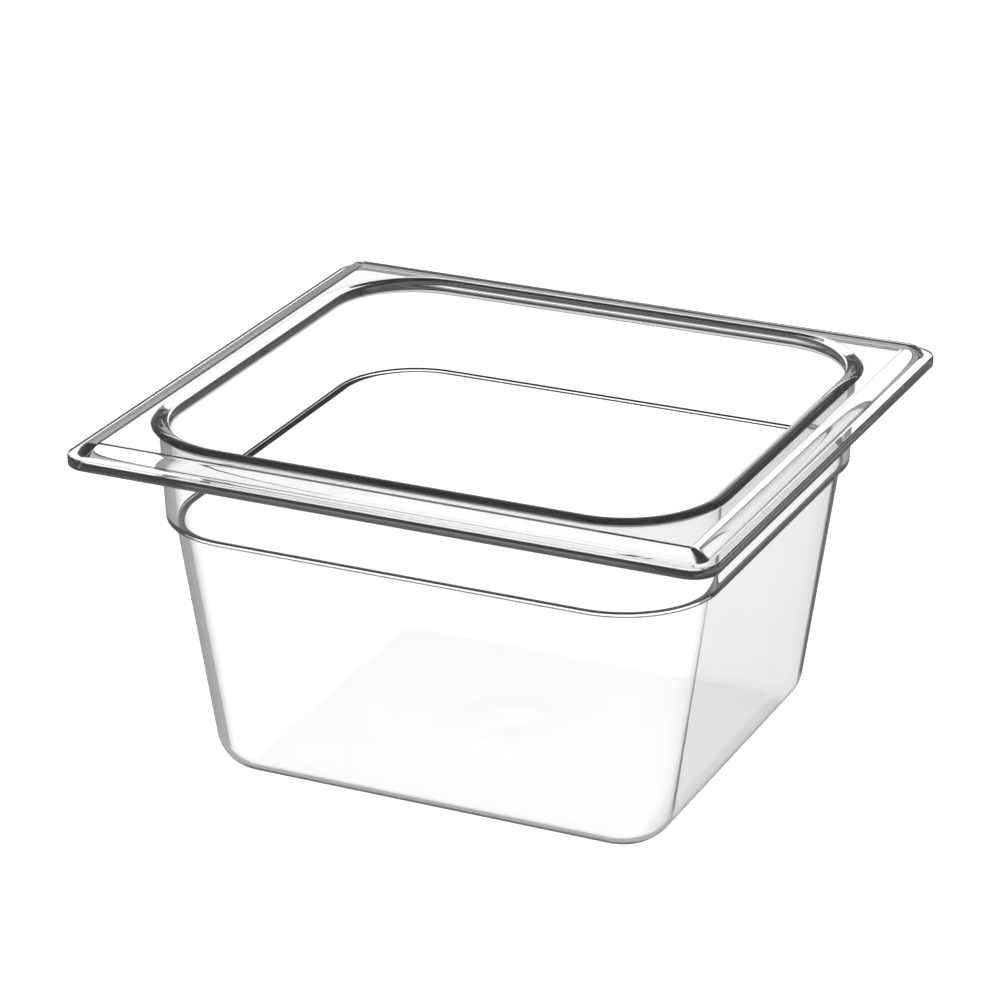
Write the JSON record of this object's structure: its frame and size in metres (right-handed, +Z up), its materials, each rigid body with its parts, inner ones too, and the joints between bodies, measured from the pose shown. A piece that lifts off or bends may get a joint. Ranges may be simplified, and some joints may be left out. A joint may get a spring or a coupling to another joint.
{
  "type": "food pan",
  "caption": "Clear polycarbonate sixth-size food pan of the nominal 100 mm depth, with a stepped hanging flange, a raised rim bead, a stacking shoulder and tapered walls.",
  "frame": {"origin": "Centre of the base's underside, on the table the pan stands on.", "axes": "+X along the pan's longer side (the long front edge in the picture), +Y to the back, +Z up out of the opening."},
  "size_m": [0.176, 0.162, 0.0975],
  "materials": {
    "clear_polycarbonate": "Water-clear moulded polycarbonate, polished inside and out, with a fine haze of handling scuffs."
  },
  "bodies": {
    "root": {"pan": "clear_polycarbonate"}
  },
  "joints": []
}
